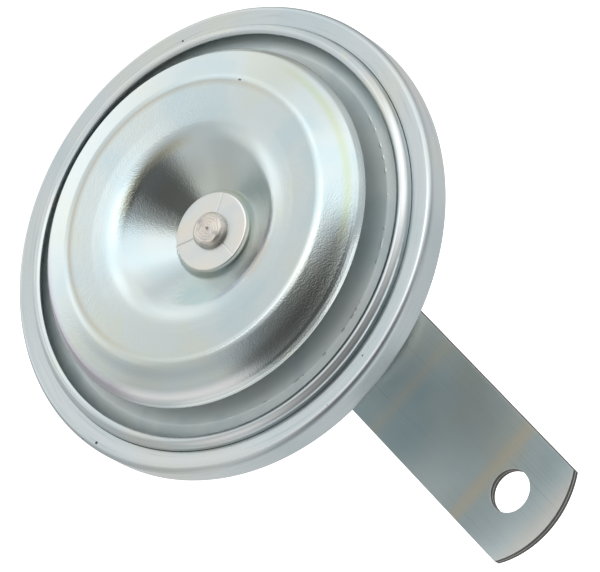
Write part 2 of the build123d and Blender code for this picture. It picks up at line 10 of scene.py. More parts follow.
import bmesh
import bpy
import numpy as np
from mathutils import Matrix, Vector


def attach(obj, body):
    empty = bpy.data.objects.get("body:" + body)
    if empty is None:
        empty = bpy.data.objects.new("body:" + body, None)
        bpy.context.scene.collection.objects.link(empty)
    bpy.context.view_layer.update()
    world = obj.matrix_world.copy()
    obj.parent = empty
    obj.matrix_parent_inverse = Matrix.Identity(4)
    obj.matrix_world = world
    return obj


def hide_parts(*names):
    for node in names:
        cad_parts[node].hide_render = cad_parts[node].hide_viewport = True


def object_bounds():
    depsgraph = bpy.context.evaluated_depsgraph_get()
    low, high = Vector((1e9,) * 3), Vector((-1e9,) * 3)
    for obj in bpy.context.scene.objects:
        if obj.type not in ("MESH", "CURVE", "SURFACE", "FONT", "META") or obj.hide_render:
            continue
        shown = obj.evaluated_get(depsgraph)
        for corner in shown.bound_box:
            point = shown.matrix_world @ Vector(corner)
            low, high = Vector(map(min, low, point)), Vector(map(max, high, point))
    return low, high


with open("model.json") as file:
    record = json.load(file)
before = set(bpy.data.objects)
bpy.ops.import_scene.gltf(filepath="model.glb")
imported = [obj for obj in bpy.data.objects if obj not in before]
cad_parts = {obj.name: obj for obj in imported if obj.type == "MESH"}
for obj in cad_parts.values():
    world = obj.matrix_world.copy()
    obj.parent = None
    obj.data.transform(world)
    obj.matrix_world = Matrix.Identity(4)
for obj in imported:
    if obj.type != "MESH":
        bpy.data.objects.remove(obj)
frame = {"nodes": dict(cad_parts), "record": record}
cad_box = [list(corner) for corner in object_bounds()]

# %% [markdown]
# ## The unit and the axis
# Pressed sheet is thought of in millimetres, and Blender works in metres. Every point could be
# typed in metres, but a shape reads more easily in the drawing's own unit, so one factor turns
# the finished points over at the very end. The horn's axis runs along Y, the disc faces -Y, and
# the strap's bolt hole is the origin.

# %% Unit and axis
MM = 0.001
REACH = 61.0    # strap's bolt hole to the horn's axis, in millimetres as all sizes below
print("the horn's axis lies at z", -REACH * MM, "m")

# %% [markdown]
# ## The camera
# A long lens keeps the circles of the horn close to true ellipses. The camera could be turned by
# three angles, but it is hard to see what each of them does. Here its axes are written as
# vectors, and the matrix made from them turns the camera, roll included.

# %% Camera
FOCAL_PX = 5356.0
IMAGE_WIDTH_PX = 600.0
CAMERA_AT = (-0.1390, -0.8157, 0.5635)
camera_data = bpy.data.cameras.new("camera")
camera_data.sensor_width = 36.0
camera_data.lens = FOCAL_PX / IMAGE_WIDTH_PX * camera_data.sensor_width
camera_data.clip_end = 20.0
camera = bpy.data.objects.new("camera", camera_data)
bpy.context.collection.objects.link(camera)
look_right = Vector((-0.6435, 0.5362, 0.5462)).normalized()
look_back = Vector((-0.1357, -0.7823, 0.6080)).normalized()
look_up = look_back.cross(look_right).normalized()
look_right = look_up.cross(look_back)
axes = Matrix((look_right, look_up, look_back)).transposed()
camera.matrix_world = Matrix.Translation(CAMERA_AT) @ axes.to_4x4()
bpy.context.scene.camera = camera
bpy.context.scene.view_settings.view_transform = "Standard"
print("lens", round(camera_data.lens, 1), "mm at", [round(v, 3) for v in camera.location])

# %% [markdown]
# ## Colours and nodes
# A finish is a tree of nodes. It could be clicked together in the shader editor, but in a script
# it stays short and can be read. Hex colours are sRGB, as a paint chart gives them, and a shader
# works with linear light, so one function turns them over. Another adds any node with its
# settings and links, which keeps each finish down to the lines that say what it is.

# %% A colour and a node
def colour(hex_code):
    """Linear RGBA of an sRGB hex colour: each channel is raised by the sRGB curve."""
    srgb = np.array([int(hex_code[i : i + 2], 16) for i in (1, 3, 5)]) / 255.0
    linear = np.where(srgb <= 0.04045, srgb / 12.92, ((srgb + 0.055) / 1.055) ** 2.4)
    return (*linear.tolist(), 1.0)


def result(node):
    """The output that stands for a node: the first one that its settings leave open."""
    return next(out for out in node.outputs if out.enabled)


def add(tree, kind, *values, **settings):
    """Adds a shader node. Settings are its own properties, and values go to its open inputs.

    The inputs are filled in the order that the node shows them. A value is a number, a vector,
    a colour, a socket to link, or a node, whose result is linked. None leaves an input as it is.
    """
    made = tree.nodes.new("ShaderNode" + kind)
    for name, value in settings.items():
        setattr(made, name, value)
    open_inputs = [socket for socket in made.inputs if socket.enabled]
    for socket, value in zip(open_inputs, values):
        if isinstance(value, bpy.types.Node):
            value = result(value)
        if isinstance(value, bpy.types.NodeSocket):
            tree.links.new(value, socket)
        elif value is not None:
            socket.default_value = value
    return made


print("half grey on a paint chart is", round(colour("#808080")[0], 3), "in linear light")

# %% [markdown]
# ## The studio
# Plated metal shows what stands round it, so most of the look is the studio: pale walls all
# round, brighter panels low on the left, and a dark patch where the camera stands. An image of
# a room could be wrapped round the scene, or cards could be set up as objects. Here the world
# itself is drawn as a function of direction, because each place can then be moved by two angles.

# %% Places in the room
ROOM_LEVEL = 0.70    # walls between the places
DARKEST = 0.04

# Azimuth and elevation in degrees, degrees at full strength, degrees to nothing, and change of
# level. Azimuth 0 is -Y, where the disc faces, and turns towards +X.
PLACES = [
    (-94, -54, 13, 37, -0.33),    # gap below the left panel
    (-54, -48, 3, 45, 0.47),      # left panel, its low end
    (-51, 0, 1, 30, 0.67),        # left panel
    (-30, 27, 1, 18, 0.30),       # left panel, its top
    (-19, 10, 1, 19, -0.25),      # gap between the two panels
    (-13, -19, 1, 30, 0.70),      # front panel, its low end
    (-13, -1, 5, 21, 0.60),       # front panel
    (-4, -34, 1, 12, -0.16),      # gap below the front panel
    (-2, 43, 21, 45, -0.56),      # dark round the camera
    (1, -65, 1, 38, -0.72),       # dark low in front
    (11, -28, 7, 18, 0.23),       # pale strip beside that gap
    (18, -72, 14, 44, 0.89),      # paper under the horn
    (21, 5, 3, 14, -0.17),        # gap right of the front panel
    (29, -36, 1, 13, -0.10),      # gap right of the strip
    (44, -40, 12, 23, 0.23),      # paper, right
    (75, -10, 7, 29, -0.09),      # right wall, low
    (90, 32, 20, 31, 0.16),       # right wall, high
    (115, -38, 10, 33, -0.18),    # corner behind, right
    (180, 20, 30, 75, 0.15),      # wall behind the horn
    (0, 90, 12, 38, 0.45),        # ceiling
]


def towards(azimuth, elevation):
    """Unit vector of a direction: (cos e sin a, -cos e cos a, sin e)."""
    a, e = np.radians((azimuth, elevation))
    return (np.cos(e) * np.sin(a), -np.cos(e) * np.cos(a), np.sin(e))


print("studio with", len(PLACES), "light and dark places")

# %% [markdown]
# ## The world from the places
# A place is round: the dot product of a direction with the place's own is the cosine of the
# angle between them, and a smooth step of that cosine fades the place out. The changes are
# added to the room's level. Where the camera looks past everything, it sees plain white.

# %% The room as a function of direction
world = bpy.data.worlds.new("studio")
bpy.context.scene.world = world
world.use_nodes = True
tree = world.node_tree
tree.nodes.clear()
direction = add(tree, "TexCoord").outputs["Generated"]
level = ROOM_LEVEL
for azimuth, elevation, inner, outer, change in PLACES:
    here = towards(azimuth, elevation)
    near = add(tree, "VectorMath", direction, here, operation="DOT_PRODUCT")
    limits = np.cos(np.radians((outer, inner)))
    spot = add(tree, "MapRange", near, *limits, 0, change, interpolation_type="SMOOTHSTEP")
    level = add(tree, "Math", level, spot, operation="ADD")
level = add(tree, "Math", level, DARKEST, operation="MAXIMUM")
camera_ray = add(tree, "LightPath").outputs["Is Camera Ray"]
room = add(tree, "Background", colour("#ffffff"), level)
white = add(tree, "Background", colour("#ffffff"), 1.0)
shown = add(tree, "MixShader", camera_ray, room, white)
add(tree, "OutputWorld", shown)
print("world of", len(tree.nodes), "nodes")

# %% [markdown]
# ## The floor
# The horn lies over white paper. A shadow catcher could stand in for it, but a real sheet also
# throws light up at the horn. It takes the horn's shadow, and a little glow for the camera alone
# lifts it to white. It is left out of reflections, where the room stands in for it.

# %% Floor
PAPER_HALF_WIDTH = 4.0    # metres
PAPER_GLOW = 0.78
lowest_z = cad_box[0][2]
signs = np.array([(-1, -1), (1, -1), (1, 1), (-1, 1)])
corners = np.column_stack((signs * PAPER_HALF_WIDTH, np.full(4, lowest_z)))
floor_mesh = bpy.data.meshes.new("floor")
floor_mesh.from_pydata(corners.tolist(), [], [(0, 1, 2, 3)])
floor = bpy.data.objects.new("floor", floor_mesh)
bpy.context.collection.objects.link(floor)
floor.visible_glossy = False

paper = bpy.data.materials.new("white_paper")
paper.use_nodes = True
tree = paper.node_tree
tree.nodes.clear()
matt = add(tree, "BsdfDiffuse", colour("#f2f2f2"))
glow = add(tree, "Emission", colour("#ffffff"), PAPER_GLOW)
lifted = add(tree, "AddShader", matt, glow)
camera_ray = add(tree, "LightPath").outputs["Is Camera Ray"]
shown = add(tree, "MixShader", camera_ray, matt, lifted)
add(tree, "OutputMaterial", shown)
floor_mesh.materials.append(paper)
print("floor at z", round(lowest_z, 4))

# %% [markdown]
# ## The key lamp
# The room lights the horn from all sides, which leaves no shadow to speak of. A sun would give a
# hard one, so a square lamp a metre wide gives the shadow its direction and keeps it soft.

# %% Key lamp
LAMP_WIDTH, LAMP_DISTANCE, LAMP_WATTS = 1.0, 1.5, 2.0    # metres, metres, watts
LAMP_AIM = (0, -0.03, -REACH * MM)                        # middle of the horn
lamp_data = bpy.data.lights.new("key_lamp", "AREA")
lamp_data.shape, lamp_data.size, lamp_data.energy = "SQUARE", LAMP_WIDTH, LAMP_WATTS
key_lamp = bpy.data.objects.new("key_lamp", lamp_data)
bpy.context.collection.objects.link(key_lamp)
out = Vector(towards(-70, 60))
key_lamp.location = Vector(LAMP_AIM) + out * LAMP_DISTANCE
key_lamp.rotation_euler = out.to_track_quat("Z", "Y").to_euler()
key_lamp.visible_camera = False
print("key lamp at", [round(v, 2) for v in key_lamp.location])

# %% [markdown]
# ## Outlines with true bends
# Everything round on the horn is one outline carried round its axis. A bevel on a lathe of
# straight lines could do it, but a press leaves true arcs, and a mirror shows the difference. So
# an outline is a path of (radius, y) corners with an arc in each, and then more points where
# its runs are long.

# %% A path with rounded corners
ARC_POINTS = 12


def rounded(corners, radii):
    """Path through the corners, each inner one replaced by an arc of its radius.

    An arc of radius r at a corner whose sides open by an angle w touches them r / tan(w / 2)
    from the corner; its centre lies r / sin(w / 2) along the line that halves the angle.
    """
    points = [np.array(corner, float) for corner in corners]
    path = [points[:1]]
    for before, corner, after, radius in zip(points, points[1:], points[2:], radii):
        u = (before - corner) / np.linalg.norm(before - corner)
        v = (after - corner) / np.linalg.norm(after - corner)
        opening = np.arccos(np.clip(u @ v, -1, 1))
        halfway = (u + v) / np.linalg.norm(u + v)
        centre = corner + halfway * radius / np.sin(opening / 2)
        start, end = (corner + side * radius / np.tan(opening / 2) - centre for side in (u, v))
        first = np.arctan2(start[1], start[0])
        sweep = (np.arctan2(end[1], end[0]) - first + np.pi) % (2 * np.pi) - np.pi
        angles = first + sweep * np.linspace(0, 1, ARC_POINTS)
        path.append(centre + radius * np.column_stack((np.cos(angles), np.sin(angles))))
    path.append(points[-1:])
    return np.concatenate(path)


def refined(path, longest=0.8):
    """The path with more points, by its length: no step between two is longer than asked."""
    steps = np.linalg.norm(np.diff(path, axis=0), axis=1)
    length = np.concatenate(([0], np.cumsum(steps)))
    even = np.linspace(0, length[-1], int(length[-1] / longest) + 2)
    marks = np.unique(np.round(np.concatenate((length, even)), 3))
    return np.column_stack([np.interp(marks, length, values) for values in path.T])


print("a square bend takes", len(rounded([(0, 0), (5, 0), (5, 5)], [1])), "points")

# %% [markdown]
# ## A sheet from its outline
# A Solidify modifier could give a surface its wall, but its cut edges come out square. Here the
# wall is drawn in the outline: the path, and the same path moved sideways by the thickness,
# joined by a small round at each end, as the press leaves it.

# %% A sheet with its two cut edges
EDGE_POINTS = 5


def beside(path, distance):
    """The path moved to its left by a distance: each point goes along the normal there."""
    along = np.gradient(path, axis=0)
    along /= np.linalg.norm(along, axis=1, keepdims=True)
    return path + distance * np.column_stack((-along[:, 1], along[:, 0]))


def one_side(here, there, edge):
    """One side of a sheet with a quarter round at each end, bent towards the other side.

    At an end, with e along the sheet and c across it, the round is the end point moved by
    edge (1 - sin t) along e and edge (1 - cos t) along c, as t goes from 0 to a right angle.
    """
    turn = np.linspace(0, np.pi / 2, EDGE_POINTS)[:, None]
    ends = []
    for end, inward, across in ((0, 1, there[0]), (-1, -2, there[-1])):
        along = here[inward] - here[end]
        along = along / np.linalg.norm(along)
        across = (across - here[end]) / np.linalg.norm(across - here[end])
        flat, steep = edge * (1 - np.sin(turn)), edge * (1 - np.cos(turn))
        ends.append(here[end] + along * flat + across * steep)
    far_off = [np.linalg.norm(here - here[end], axis=1) > edge for end in (0, -1)]
    return np.concatenate((ends[0][::-1], here[far_off[0] & far_off[1]], ends[1]))


def sheet(corners, radii, thickness, edge):
    """Closed outline of a bent sheet: the path, and its offset walked back to the start.

    Its cut edges have the round that is asked for, in millimetres.
    """
    path = refined(rounded(corners, radii))
    offset = beside(path, thickness)
    return np.concatenate(
        (one_side(path, offset, edge), one_side(offset[::-1], path[::-1], edge))
    )


print("a flat strip of 5 mm takes", len(sheet([(0, 0), (5, 0)], [], 1.0, 0.3)), "points")

# %% [markdown]
# ## From a grid to a mesh
# A surface that is a function of two parameters is a grid of points, and neighbouring points
# make its four-sided faces. They could be made one by one in a loop, but there are half a
# million of them, so numpy numbers them all at once. The volume that they enclose tells
# whether they look outwards.

# %% A mesh from a grid of points
def piece_from_grid(name, points, close_v):
    """Mesh of a grid of points (u, v, xyz) in millimetres, closed round u and, if asked, v.

    The faces are turned over when the volume they enclose comes out negative.
    """
    rows, columns = points.shape[:2]
    index = np.arange(rows * columns).reshape(rows, columns)
    index = np.vstack((index, index[:1]))
    if close_v:
        index = np.hstack((index, index[:, :1]))
    faces = np.stack((index[:-1, :-1], index[1:, :-1], index[1:, 1:], index[:-1, 1:]), axis=-1)
    faces, flat = faces.reshape(-1, 4), points.reshape(-1, 3)
    around = flat[faces]
    normals = np.cross(around[:, 2] - around[:, 0], around[:, 3] - around[:, 1])
    if (around.mean(axis=1) * normals).sum() < 0:
        faces = faces[:, ::-1]
    mesh = bpy.data.meshes.new(name)
    mesh.from_pydata((flat * MM).tolist(), [], faces.tolist())
    mesh.polygons.foreach_set("use_smooth", np.full(len(faces), True))
    mesh.update()
    made = bpy.data.objects.new(name, mesh)
    bpy.context.collection.objects.link(made)
    print(name, len(faces), "faces")
    return made


print("a closed grid of 360 by 100 points has", 360 * 100, "faces")

# %% [markdown]
# ## Turned round the axis
# A Screw modifier would turn an outline into a piece, but nothing could then differ round it.
# Here the outline's points are put at every angle at once, and a wave function may move them,
# which is how a coined line, a turned ring or a thread comes about.

# %% Turned pieces
STEPS_ROUND = 360
POLE_MERGE = 1e-7    # metres, for the points that meet on the axis


def turned(name, outline, steps=STEPS_ROUND, wave=None):
    """A (radius, y) outline carried round the horn's axis, closed or from axis to axis.

    A point at angle a, from +X towards +Z, is (r cos a, y, r sin a - reach). The wave, if there
    is one, takes the grids of a, r and y, and returns the grids of r and y after its change.
    """
    angle = np.linspace(0, 2 * np.pi, steps, endpoint=False)[:, None]
    radius, y = (np.broadcast_to(values, (steps, len(outline))) for values in outline.T)
    if wave:
        radius, y = wave(angle, radius, y)
    x, z = radius * np.cos(angle), radius * np.sin(angle) - REACH
    on_axis = outline[0, 0] == 0
    made = piece_from_grid(name, np.stack((x, y, z), axis=-1), close_v=not on_axis)
    if on_axis:
        whole = bmesh.new()
        whole.from_mesh(made.data)
        bmesh.ops.remove_doubles(whole, verts=whole.verts, dist=POLE_MERGE)
        whole.to_mesh(made.data)
        whole.free()
    return made


print("one step at 10 mm from the axis is", round(20 * np.pi / STEPS_ROUND, 2), "mm long")

# %% [markdown]
# ## Where a finish sits on the horn
# A finish that follows the press or the lathe needs to know the radius and the side of the
# horn. An unwrapped map could hold them, but every piece is in the same frame, so Object
# coordinates give them at once: the place less the axis, its length and its direction.

# %% Finishes start here
FINISHES = {}


def finish(name, base, metallic, roughness):
    """Starts a finish: a new material, known by its name. Returns its nodes and its shader."""
    made = bpy.data.materials.new(name)
    made.use_nodes = True
    shader = made.node_tree.nodes["Principled BSDF"]
    shader.inputs["Base Color"].default_value = colour(base)
    shader.inputs["Metallic"].default_value = metallic
    shader.inputs["Roughness"].default_value = roughness
    FINISHES[name] = made
    return made.node_tree, shader


def drive(tree, shader, **sources):
    """Links nodes to the shader: Base_Color=shade lets the shade drive Base Color."""
    for socket, source in sources.items():
        tree.links.new(result(source), shader.inputs[socket.replace("_", " ")])


def along_axis(tree, axis):
    """The place along one axis of the frame, in millimetres."""
    place = add(tree, "SeparateXYZ", add(tree, "TexCoord").outputs["Object"])
    return add(tree, "Math", place.outputs[axis], 1 / MM, operation="MULTIPLY")


def around_horn(tree):
    """Two things to draw by: the radius in millimetres, and the direction out from the axis."""
    place = add(tree, "TexCoord").outputs["Object"]
    centred = add(tree, "VectorMath", place, (0, 0, -REACH * MM), operation="SUBTRACT")
    flat = add(tree, "VectorMath", centred, (1 / MM, 0, 1 / MM), operation="MULTIPLY")
    radius = add(tree, "VectorMath", flat, operation="LENGTH")
    outwards = add(tree, "VectorMath", flat, operation="NORMALIZE")
    return radius, outwards


print("finishes are drawn round the axis at z", -REACH, "mm")

# %% [markdown]
# ## Patterns that several finishes share
# No plating is one colour. It is thicker in some places than in others, it has pits and grains
# of dust, and the sheet below it is never quite smooth. Painted textures could show all this,
# but noise in millimetres fits every piece at the same scale.

# %% Clouds, relief and specks
def clouds(tree, shade, size_mm, cool, warm):
    """Slow changes of tint over a sheet: its thinner plating looks cool, its thicker warm."""
    place = add(tree, "TexCoord").outputs["Object"]
    lumps = add(tree, "TexNoise", place, 1 / (size_mm * MM), 3.0)
    for limits, tint in (((0.50, 0.34), cool), ((0.50, 0.66), warm)):
        share = add(tree, "MapRange", lumps, *limits, interpolation_type="SMOOTHSTEP")
        shade = add(tree, "Mix", share, shade, colour(tint), data_type="RGBA")
    return shade


def relief(tree, shader, layers, pattern=None):
    """Fine relief in layers of a size and a depth in mm. The last step of every finish.

    A layer is noise of that size. A pattern, if there is one, is the height of the first layer
    instead, and its size isn't used.
    """
    place = add(tree, "TexCoord").outputs["Object"]
    normal = None
    for size_mm, depth_mm in layers:
        height = pattern or add(tree, "TexNoise", place, 1 / (size_mm * MM), 2.0)
        normal = add(tree, "Bump", 1.0, depth_mm * MM, None, height, normal)
        pattern = None
    drive(tree, shader, Normal=normal)
    print("finish", len(FINISHES), "is", list(FINISHES)[-1], "with", len(tree.nodes), "nodes")


def specks(tree, shade, spacing_mm, size_mm, tint):
    """Small pits and grains of dust: one in each cell of a scattered grid, half of them drawn.

    The distance to the cell's point is compared with a size that differs from cell to cell.
    """
    place = add(tree, "TexCoord").outputs["Object"]
    cells = add(tree, "TexVoronoi", place, 1 / (spacing_mm * MM))
    reach = add(tree, "MapRange", cells.outputs["Color"], 0.5, 1.0, 0.0, size_mm / spacing_mm)
    inside = add(tree, "Math", cells, reach, operation="LESS_THAN")
    return add(tree, "Mix", inside, shade, colour(tint), data_type="RGBA")


print("a speck of 0.5 mm in a cell of 5 mm reaches", 0.5 / 5.0, "of the cell")

# %% [markdown]
# ## Marks and painted light that run round the horn
# The press, the rolling wheel and the plating bath all leave marks that follow a ring of the
# horn for some way and then fade. Painted highlights and painted shade lie on the same rings,
# where the mirror of a bend shows a bright or a dark part of the room. Such a mark could be a
# thin extra piece, but it has no height worth a mesh. It is a band of the radius times an arc
# of the direction, and noise may break it into dashes.

# %% Bands, rings and rows of marks
def band(tree, height, middle, half_width, strength):
    """A band of a height or radius in mm: its strength at the middle, 0 half a width off it.

    The strength is multiplied by the smooth step of 1 - |height - middle| / half width.
    """
    off = add(tree, "Math", height, middle, operation="SUBTRACT")
    off = add(tree, "Math", off, operation="ABSOLUTE")
    return add(
        tree, "MapRange", off, half_width, 0, 0, strength, interpolation_type="SMOOTHSTEP"
    )


def ring_share(tree, ring, half_width, angle, half_length, strength, breaks=0):
    """How much of a mark shows: its strength on a ring's arc, falling smoothly to 0 beside it.

    The ring has a radius and a half width in mm, and the arc a middle angle and a half length
    in degrees. Breaks is how finely the arc is broken up, 0 for not at all.
    """
    radius, outwards = around_horn(tree)
    across = band(tree, radius, ring, half_width, strength)
    middle = (np.cos(np.radians(angle)), 0, np.sin(np.radians(angle)))
    near = add(tree, "VectorMath", outwards, middle, operation="DOT_PRODUCT")
    limits = np.cos(np.radians((half_length, half_length / 2)))
    along = add(tree, "MapRange", near, *limits, interpolation_type="SMOOTHSTEP")
    share = add(tree, "Math", across, along, operation="MULTIPLY")
    if breaks:
        gaps = add(tree, "TexNoise", outwards, breaks, 1.0)
        gaps = add(tree, "MapRange", gaps, 0.54, 0.58)
        share = add(tree, "Math", share, gaps, operation="MULTIPLY")
    return share


def rings_of_marks_and_painted_light(tree, shade, rows):
    """Lays rows over a shade: press lines, tints of the plating, painted highlights and painted
    shade.

    A row is the ring's radius, half width, middle angle, half length, tint, strength, breaks.
    """
    for ring, half_width, angle, half_length, tint, strength, breaks in rows:
        share = ring_share(tree, ring, half_width, angle, half_length, strength, breaks)
        shade = add(tree, "Mix", share, shade, colour(tint), data_type="RGBA")
    return shade


print("angles run from +X at 0 to the strap at 90 degrees")

# %% [markdown]
# ## Bright zinc plate on the tone disc
# The disc is cold-rolled steel, pressed, then zinc plated and given a blue passivate. That
# leaves a mirror a little blurred by the orange peel of the sheet, with faint yellow and violet
# where the passivate is thicker and a tan line along the crown. Painted highlights on the crown,
# the edge and the bevel, and painted shade on the bevel and the dish's wall, stand for bright
# and dark parts of the room in the mirror.
# Real peel is about 0.1 mm across; it is drawn at 0.28 mm, the finest that a view shows.

# %% Finish of the tone disc
DISC_MARKS_AND_PAINTED_LIGHT = [
    (27.30, 1.00, 285, 125, "#b9a47c", 0.28, 0),     # tan line behind the crown
    (28.10, 0.28, 90, 38, "#f6fafa", 0.75, 0),       # painted highlight on the crown towards the strap
    (33.00, 1.20, 155, 45, "#bfcb98", 0.45, 0),      # yellow-green passivate
    (34.60, 1.60, 352, 45, "#bba9c0", 0.50, 0),      # violet passivate
    (35.30, 0.16, 75, 60, "#f2f6f6", 0.70, 0),       # painted highlight just inside the edge
    (16.70, 1.60, 100, 45, "#9d93a6", 0.60, 0),      # violet on the dish's shoulder
    (18.00, 1.50, 103, 16, "#c9a888", 0.35, 0),      # heat spot
    (17.20, 1.60, 270, 42, "#c4ba88", 0.40, 0),      # yellow on the dish's shoulder
    (12.50, 4.00, 264, 42, "#5f6059", 0.15, 0),      # painted shade on the dish's wall
    (32.40, 3.60, 97, 38, "#3f3b34", 0.60, 0),       # painted shade on the bevel
    (34.00, 1.40, 46, 32, "#ffffff", 0.80, 0),       # painted highlight on the bevel beside the lip
    (30.20, 1.90, 40, 55, "#b0bdc2", 0.50, 0),       # painted shade on the bevel beside the crown
    (28.00, 0.30, 207, 0.9, "#3a3833", 0.90, 0),     # a pit
]
ORANGE_PEEL = [(0.28, 0.026), (1.2, 0.014)]    # size and depth of each layer, mm
tree, shader = finish("bright_blue_zinc_plate", "#ccd5d6", 1.0, 0.13)
shade = clouds(tree, colour("#ccd6d6"), 18.0, "#c3d3d7", "#cfd6cf")
shade = rings_of_marks_and_painted_light(tree, shade, DISC_MARKS_AND_PAINTED_LIGHT)
drive(tree, shader, Base_Color=shade)
relief(tree, shader, ORANGE_PEEL)

# %% [markdown]
# ## Satin zinc plate on the rim, the bead and the case
# The rim is rolled down by a wheel, which scuffs the plating dull and leaves streaks round it.
# An anisotropic shader would stretch the reflections, but it draws no single streak. So the
# streaks are noise that is long round the horn and short across it, and they change both the
# tint and the roughness. Specks of dirt sit in the pits that the wheel leaves. The deep-drawn
# case is stretched as well, which leaves its plating duller than the rim's.

# %% Finish of the rim and the case
RIM_MARKS_AND_PAINTED_LIGHT = [
    (45.60, 0.40, 95, 55, "#f7fafb", 0.70, 0),       # painted highlight on the front corner
    (46.20, 0.30, 95, 50, "#6c7277", 0.60, 0),       # painted shade behind that corner
    (39.70, 0.60, 95, 60, "#ffffff", 0.85, 0),       # painted highlight on the bead's inner edge
    (40.50, 0.30, 95, 50, "#737b80", 0.50, 0),       # painted shade behind that edge
    (41.40, 0.60, 100, 75, "#ffffff", 0.80, 0),      # painted highlight on the bead's crest
    (42.10, 0.18, 200, 175, "#8b9194", 0.30, 9),     # painted shade in the crease under the lip
    (41.20, 0.60, 250, 110, "#dcdcc8", 0.50, 5),     # cream passivate on the bead
    (44.00, 1.60, 20, 60, "#dfe3e4", 0.35, 0),       # lip wiped clean
]
STREAKS_PER_MM, STREAKS_PER_RADIAN = 2.0, 4.0
WHEEL_RELIEF = [(0.5, 0.006), (3.5, 0.010)]


def rolled_zinc(name, marks, smoothest, dullest):
    """Zinc plate with streaks round the horn: 0.5 mm across, a quarter of a radian long.

    The noise is read at (radius, depth) times its rate plus the direction times its own.
    """
    tree, shader = finish(name, "#c7cfd1", 1.0, dullest)
    shade = clouds(tree, colour("#c7cfd1"), 22.0, "#c0cccf", "#ccd0cb")
    shade = rings_of_marks_and_painted_light(tree, shade, marks)
    radius, outwards = around_horn(tree)
    across = add(tree, "CombineXYZ", radius, along_axis(tree, "Y"), 0.0)
    across = add(tree, "VectorMath", across, (STREAKS_PER_MM,) * 3, operation="MULTIPLY")
    along = add(tree, "VectorMath", outwards, (STREAKS_PER_RADIAN,) * 3, operation="MULTIPLY")
    streak_place = add(tree, "VectorMath", across, along, operation="ADD")
    streaks = add(tree, "TexNoise", streak_place, 1.0, 3.0)
    share = add(tree, "MapRange", streaks, 0.56, 0.78, 0, 0.35, interpolation_type="SMOOTHSTEP")
    shade = add(tree, "Mix", share, shade, colour("#98a2a8"), data_type="RGBA")
    shade = specks(tree, shade, 5.0, 0.45, "#4c4f50")
    dulled = add(tree, "MapRange", streaks, 0.3, 0.7, smoothest, dullest)
    drive(tree, shader, Base_Color=shade, Roughness=dulled)
    relief(tree, shader, WHEEL_RELIEF)


rolled_zinc("satin_zinc_plate", RIM_MARKS_AND_PAINTED_LIGHT, 0.25, 0.36)
rolled_zinc("deep_drawn_zinc_plate", [], 0.42, 0.58)

# %% [markdown]
# ## Satin steel of the diaphragm
# The diaphragm is thin spring steel, bead-blasted and plated. Blasting scatters the light much
# as paint does, so its shader is far less metallic than its steel, and it looks a soft blue-grey
# without a sharp reflection. Where the stop of the assembly press touched it, a broken line of
# small bright dashes runs round just outside the disc. They are bare and smooth, so one share
# drives their tint, their metallic, their roughness and their height together.

# %% Finish of the diaphragm
DIAPHRAGM_MARKS = [
    (37.20, 0.12, 290, 80, "#dfe6e8", 0.50, 7),      # the line's faint far side
    (39.60, 0.25, 117, 1.0, "#40464a", 0.80, 0),     # a scratch
]
DASHES = (37.2, 0.32, 110, 72, 1.0, 20)
BLASTED, BARE = (0.20, 0.50), (1.0, 0.22)            # metallic and roughness of each
DASH_DEPTH = 0.14
tree, shader = finish("blasted_spring_steel", "#e9f3f3", *BLASTED)
shade = clouds(tree, colour("#e9f3f3"), 15.0, "#d8e8ea", "#e8efed")
shade = rings_of_marks_and_painted_light(tree, shade, DIAPHRAGM_MARKS)
shade = specks(tree, shade, 6.0, 0.5, "#3d4245")
dashes = ring_share(tree, *DASHES)
shade = add(tree, "Mix", dashes, shade, colour("#ffffff"), data_type="RGBA")
bare = add(tree, "MapRange", dashes, 0.0, 1.0, BLASTED[0], BARE[0])
smooth = add(tree, "MapRange", dashes, 0.0, 1.0, BLASTED[1], BARE[1])
drive(tree, shader, Base_Color=shade, Metallic=bare, Roughness=smooth)
relief(tree, shader, [(0, DASH_DEPTH), (0.4, 0.005)], pattern=dashes)

# %% [markdown]
# ## Rolled strap steel
# The strap is sheared from rolled strip, and the rolls leave hairlines along it. They are noise
# that is 0.25 mm wide and 60 mm long, both in the tint and in the relief. Real hairlines are
# 0.02 mm wide; at that width no view would show them. The passivate ran down the strap while it
# dried and left bands across it; the broad pale band below the bolt hole is a painted highlight
# against the horn's dark reflection in the strap. A sheared edge is torn, dark and rough, and it
# is found by where the surface looks along the sheet, which saves a second material.

# %% Finish of the strap
HAIRLINE_MM = (0.25, 3.0, 60.0)    # size of the noise along x, y and z
# Bands where the passivate ran, and one band of painted highlight: middle, half width, tint and
# strength.
STRAP_BANDS_AND_PAINTED_LIGHT = [
    (-16.0, 11.0, "#f2f6f5", 0.70),    # painted highlight below the bolt hole, against the horn's dark reflection
    (-33.0, 2.6, "#eadfcf", 0.45),     # tan edge of a run, near the horn
    (-6.0, 3.0, "#f0dfc6", 0.65),      # tan edge of a run, near the bolt hole
    (10.5, 5.0, "#dcd6cc", 0.60),      # warm tip
]
ROLLED, TORN = 0.30, 0.55              # roughness of the face and of the sheared edge
tree, shader = finish("rolled_strap_steel", "#d2dcdd", 1.0, ROLLED)
shade = clouds(tree, colour("#d2dcdd"), 25.0, "#c4d4d7", "#dadbd3")
place = add(tree, "TexCoord").outputs["Object"]
stretch = tuple(1 / (size * MM) for size in HAIRLINE_MM)
lengthwise = add(tree, "VectorMath", place, stretch, operation="MULTIPLY")
hairlines = add(tree, "TexNoise", lengthwise, 1.0, 2.0)
for limits, tint, strength in (((0.62, 0.74), "#dfe5e6", 0.30), ((0.38, 0.28), "#8f9a9d", 0.25)):
    share = add(tree, "MapRange", hairlines, *limits, 0, strength)
    shade = add(tree, "Mix", share, shade, colour(tint), data_type="RGBA")
height = along_axis(tree, "Z")
